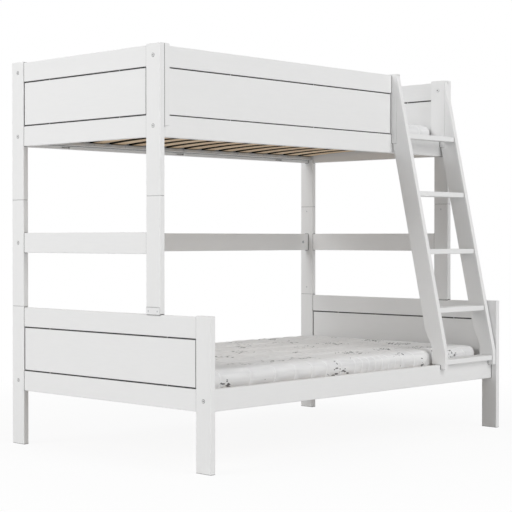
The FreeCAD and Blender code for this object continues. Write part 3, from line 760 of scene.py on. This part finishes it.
def cover():
    """Grey-white knit: fine loops, soft streaks, a sparse print of dashes, white seam thread that also
    paints a highlight along the seams, and a near-black underside painted as shade.
    """
    material, tree, shader = new_material("mattress_cover")
    place = tree.nodes.new("ShaderNodeTexCoord")
    loops = add_node(tree, "ShaderNodeTexVoronoi", Scale=520.0)
    streak_lay = add_node(tree, "ShaderNodeMapping", Scale=(3.0, 26.0, 26.0))
    streaks = add_node(tree, "ShaderNodeTexNoise", Scale=2.0, Detail=3.0)
    wire(tree, place, "Object", loops, "Vector")
    wire(tree, place, "Object", streak_lay, "Vector")
    wire(tree, streak_lay, "Vector", streaks, "Vector")
    ground = colour_ramp(tree, [(0.32, COVER_GREY), (0.62, COVER_WHITE)])
    wire(tree, streaks, "Fac", ground, "Fac")
    printing = tree.nodes.new("ShaderNodeGroup")
    printing.node_tree = dash_print()
    wire(tree, place, "Object", printing, "Place")
    printed = tree.nodes.new("ShaderNodeMix")
    printed.data_type = "RGBA"
    wire(tree, printing, "Mask", printed, 0)
    wire(tree, ground, "Color", printed, 6)
    printed.inputs[7].default_value = PRINT_GREY
    # At the seams the colour turns lighter: white thread, and a painted highlight for the lit walls of the
    # seams.
    seam = tree.nodes.new("ShaderNodeAttribute")
    seam.attribute_name = "seam"
    shaded = tree.nodes.new("ShaderNodeMix")
    shaded.data_type = "RGBA"
    wire(tree, seam, "Fac", shaded, 0)
    wire(tree, printed, 2, shaded, 6)
    shaded.inputs[7].default_value = THREAD_AND_HIGHLIGHT
    # The underside is painted near black as the shade below the mattress.
    below = tree.nodes.new("ShaderNodeAttribute")
    below.attribute_name = "underside"
    shaded_below = tree.nodes.new("ShaderNodeMix")
    shaded_below.data_type = "RGBA"
    wire(tree, below, "Fac", shaded_below, 0)
    wire(tree, shaded, 2, shaded_below, 6)
    shaded_below.inputs[7].default_value = UNDERSIDE_SHADE
    wire(tree, shaded_below, 2, shader, "Base Color")
    bump = add_node(tree, "ShaderNodeBump", Strength=0.25, Distance=0.0008)
    wire(tree, loops, "Distance", bump, "Height")
    wire(tree, bump, "Normal", shader, "Normal")
    shader.inputs["Roughness"].default_value = 0.85
    shader.inputs["Sheen Weight"].default_value = 0.15
    shader.inputs["Specular IOR Level"].default_value = 0.2
    return material


cover_finish = cover()


def seam_lines(half):
    """Places of the seams along the bed: close together near the middle and wider towards the ends."""
    lines = []
    x = -half + WIDE_SEAMS
    while x < half - WIDE_SEAMS / 2:
        lines.append(x)
        off = abs(x - NARROW_AT)
        x += NARROW_SEAMS if off < NARROW_HALF else WIDE_SEAMS + SEAMS_WIDEN * max(0.0, off - WIDER_FROM)
    return np.array(lines)


def crowded(count, seams, half):
    """Even columns along the bed, moved so that one lies on each seam and the rest crowd round it."""
    knots = np.concatenate([[-half], seams, [half]])
    at = np.rint((knots + half) / (2 * half) * (count - 1)).astype(int)
    places = np.empty(count)
    for first, last, start, end in zip(at[:-1], at[1:], knots[:-1], knots[1:]):
        share = np.linspace(0, 1, last - first + 1)
        eased = share - CROWDING * np.sin(math.tau * share) / math.tau
        places[first:last + 1] = start + (end - start) * eased
    return places


def rounded(points, half):
    """A box's points pulled in to round corners in plan and round edges at the top and the bottom."""
    size = np.array(half)
    room = size - np.abs(points)
    across = np.minimum(room[:, 0], room[:, 1])
    reach = np.maximum(EDGE_ROUND - np.stack([across, room[:, 2]], 1), 0)
    length = np.linalg.norm(reach, axis=1)
    turned = (reach > 0).all(axis=1)
    pulled = EDGE_ROUND - reach * (EDGE_ROUND / np.maximum(length, 1e-9))[:, None]
    across = np.where(turned, pulled[:, 0], across)
    drop = np.where(turned, pulled[:, 1], room[:, 2])
    core = np.clip(points[:, :2], -(size[:2] - PLAN_ROUND), size[:2] - PLAN_ROUND)
    spoke = points[:, :2] - core
    far = np.linalg.norm(spoke, axis=1)
    out = np.minimum(PLAN_ROUND - across, PLAN_ROUND)
    plan = core + spoke / np.maximum(far, 1e-9)[:, None] * out[:, None]
    inner = far < 1e-9
    plan[inner] = points[inner, :2]
    shaped = points.copy()
    shaped[:, :2] = plan
    shaped[:, 2] = np.sign(points[:, 2]) * (size[2] - drop)
    return shaped


def quilted(bed):
    """One mattress: a finely cut block, rounded, hollowed below to lie on the slats, seamed and swollen."""
    low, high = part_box(f"{bed}_mattress")
    middle, half = (low + high) / 2, (high - low) / 2
    half = Vector((half.x - SWELL, half.y - SWELL, half.z - SWELL / 2))
    middle.z -= SWELL / 2
    piece = block(middle, half)
    piece.name = f"{bed}_mattress_quilted"
    cut_along(piece, 0, SLICES - 1, SLICES - 1)
    cut_along(piece, 1, int(half.y * 2 / ROW_PITCH))
    cut_along(piece, 2, SIDE_CUTS)
    mesh = piece.data
    points = np.empty(len(mesh.vertices) * 3, np.float32)
    mesh.vertices.foreach_get("co", points)
    start = points.reshape(-1, 3).astype(float) - np.array(middle)
    count = SLICES ** 2 + 1
    seams = seam_lines(half.x)
    column = np.rint((start[:, 0] + half.x) / (2 * half.x) * (count - 1)).astype(int)
    start[:, 0] = crowded(count, seams, half.x)[column]
    shaped = rounded(start, half)
    away = np.abs(start[:, 0, None] - seams[None]).min(1)
    under = start[:, 2] < -half.z + ON_FACE
    depth = SEAM_DEPTH * np.exp(-((away / SEAM_HALF) ** 2))
    depth[under] = 0
    on_top = start[:, 2] > half.z - ON_FACE
    run = start[:, 1] + np.sign(start[:, 1]) * np.where(on_top, 0, half.z - start[:, 2])
    crest = -half.y - WAVE_CREST * 2 * half.z
    fade = np.clip((half.x - np.abs(start[:, 0])) / WAVE_FADE, 0, 1)
    wave = WAVE_HEIGHT * np.cos(math.tau * (run - crest) / WAVE_LENGTH) * fade
    wave[under] = 0
    inward = shaped - np.clip(shaped, -(np.array(half) - EDGE_ROUND), np.array(half) - EDGE_ROUND)
    inward[:, 0] = 0
    inward /= np.maximum(np.linalg.norm(inward, axis=1), 1e-6)[:, None]
    shaped -= inward * depth[:, None]
    shaped[:, 0] += wave
    shaped[:, 2] += bow_over(bed, shaped[:, 1] + middle.y) * np.clip(-start[:, 2] / half.z, 0, 1)
    rest = shaped + np.array(middle)
    mesh.vertices.foreach_set("co", rest.astype(np.float32).ravel())
    mesh.update()
    line = mesh.attributes.new("seam", "FLOAT", "POINT")
    # The seam line's strength, for the thread and the painted highlight along each seam.
    thread = np.where(under, 0, np.exp(-((away / THREAD_HALF) ** 2)))
    line.data.foreach_set("value", thread.astype(np.float32))
    # Marks the underside, which is painted near black as shade.
    below = mesh.attributes.new("underside", "FLOAT", "POINT")
    below.data.foreach_set("value", under.astype(np.float32))
    swell(piece, rest, (away < ON_FACE) | under)
    only(piece)
    bpy.ops.object.shade_smooth()
    piece.data.materials.append(cover_finish)
    return piece


def swell(piece, rest, held):
    """Blows the cover up by cloth simulation with its seams and its underside held in place."""
    pins = piece.vertex_groups.new(name="held")
    pins.add([int(i) for i in np.flatnonzero(held)], 1.0, "REPLACE")
    only(piece)
    cloth = piece.modifiers.new("swelling", "CLOTH")
    cloth.settings.quality = 5
    cloth.settings.vertex_group_mass = "held"
    cloth.settings.use_pressure = True
    cloth.settings.uniform_pressure_force = SWELL_PRESSURE
    cloth.settings.shrink_min = SWELL_SHRINK
    cloth.settings.effector_weights.gravity = 0
    cloth.point_cache.frame_start = 1
    cloth.point_cache.frame_end = SWELL_STEPS
    scene = bpy.context.scene
    for number in range(1, SWELL_STEPS + 1):
        scene.frame_set(number)
    bpy.ops.object.modifier_apply(modifier="swelling")
    scene.frame_set(1)
    points = np.empty(len(rest) * 3, np.float32)
    piece.data.vertices.foreach_get("co", points)
    moved = points.reshape(-1, 3) - rest
    length = np.linalg.norm(moved, axis=1)
    moved *= np.minimum(1, SWELL_CAP / np.maximum(length, 1e-9))[:, None]
    piece.data.vertices.foreach_set("co", (rest + moved).astype(np.float32).ravel())
    piece.data.update()
    piece.vertex_groups.clear()


for bed in ("lower", "upper"):
    pad = quilted(bed)
    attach(pad, f"{bed}_mattress")
    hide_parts(f"{bed}_mattress")

# Studio: a wide pale floor that fades to a white surround, three large soft lamps far off at the left,
# at the front and high at the front, and the camera at the height of a seated person.
FLOOR_SIZE = 60.0
CAMERA_PLACE = (-5.0408, -4.7992, 0.9698)
CAMERA_TILT, CAMERA_TURN = math.radians(90 - 0.722), math.radians(-46.02)
CAMERA_LENS, SENSOR = 99.25, 36.0
WORLD_LIGHT = 0.293
SHADOW_SHARE = 0.08
FLOOR_COLOUR = (0.82, 0.82, 0.82, 1)
FADE_FROM, FADE_TO = 1.2, 3.2
LAMP_SIZE, AIM_HEIGHT = 6.0, 0.9


def seen_directly(tree):
    """One where a surface is seen by the camera, in a reflection or through glass, and zero elsewhere."""
    path = tree.nodes.new("ShaderNodeLightPath")
    first = tree.nodes.new("ShaderNodeMath")
    first.operation = "MAXIMUM"
    wire(tree, path, "Is Camera Ray", first, 0)
    wire(tree, path, "Is Glossy Ray", first, 1)
    both = tree.nodes.new("ShaderNodeMath")
    both.operation = "MAXIMUM"
    wire(tree, first, "Value", both, 0)
    wire(tree, path, "Is Transmission Ray", both, 1)
    return both


bpy.ops.object.select_all(action="DESELECT")
bpy.ops.mesh.primitive_plane_add(size=FLOOR_SIZE, location=(0, 0, 0))
floor = bpy.context.object
floor.name = "floor"
pale, tree, shader = new_material("pale_floor")
shader.inputs["Base Color"].default_value = FLOOR_COLOUR
shader.inputs["Roughness"].default_value = 0.9
glow = add_node(tree, "ShaderNodeEmission", Color=(1, 1, 1, 1), Strength=1.0)
place = tree.nodes.new("ShaderNodeTexCoord")
distance = tree.nodes.new("ShaderNodeVectorMath")
distance.operation = "LENGTH"
wire(tree, place, "Object", distance, 0)
fade = add_node(tree, "ShaderNodeMapRange", From_Min=FADE_FROM, From_Max=FADE_TO)
fade.inputs["To Min"].default_value = 1 - SHADOW_SHARE
fade.inputs["To Max"].default_value = 1.0
wire(tree, distance, "Value", fade, "Value")
share = tree.nodes.new("ShaderNodeMath")
share.operation = "MULTIPLY"
wire(tree, seen_directly(tree), "Value", share, 0)
wire(tree, fade, "Result", share, 1)
mixed = tree.nodes.new("ShaderNodeMixShader")
wire(tree, share, "Value", mixed, 0)
wire(tree, shader, "BSDF", mixed, 1)
wire(tree, glow, "Emission", mixed, 2)
wire(tree, mixed, "Shader", tree.nodes["Material Output"], "Surface")
floor.data.materials.append(pale)

world = bpy.data.worlds.new("studio")
bpy.context.scene.world = world
world.use_nodes = True
tree = world.node_tree
ambient = tree.nodes["Background"]
ambient.inputs["Color"].default_value = (1, 1, 1, 1)
ambient.inputs["Strength"].default_value = WORLD_LIGHT
white = add_node(tree, "ShaderNodeBackground", Color=(1, 1, 1, 1), Strength=1.0)
mixed = tree.nodes.new("ShaderNodeMixShader")
wire(tree, seen_directly(tree), "Value", mixed, 0)
wire(tree, ambient, "Background", mixed, 1)
wire(tree, white, "Background", mixed, 2)
wire(tree, mixed, "Shader", tree.nodes["World Output"], "Surface")


def soft_lamp(name, place, watts):
    """A square area lamp that faces the middle of the bed."""
    lamp = bpy.data.lights.new(name, "AREA")
    lamp.size = LAMP_SIZE
    lamp.energy = watts
    holder = bpy.data.objects.new(name, lamp)
    bpy.context.collection.objects.link(holder)
    holder.location = place
    aim = Vector((0, 0, AIM_HEIGHT)) - Vector(place)
    holder.rotation_euler = aim.to_track_quat("-Z", "Y").to_euler()


soft_lamp("left_lamp", (-10.51, 2.81, 5.97), 690)
soft_lamp("front_lamp", (0.0, -11.74, 3.39), 250)
soft_lamp("high_lamp", (0.0, -9.19, 8.61), 485)

lens = bpy.data.cameras.new("camera")
lens.lens = CAMERA_LENS
lens.sensor_width = SENSOR
lens.clip_end = 200
camera = bpy.data.objects.new("camera", lens)
bpy.context.collection.objects.link(camera)
camera.location = CAMERA_PLACE
camera.rotation_euler = (CAMERA_TILT, 0, CAMERA_TURN)
bpy.context.scene.camera = camera
bpy.context.scene.view_settings.view_transform = "Standard"
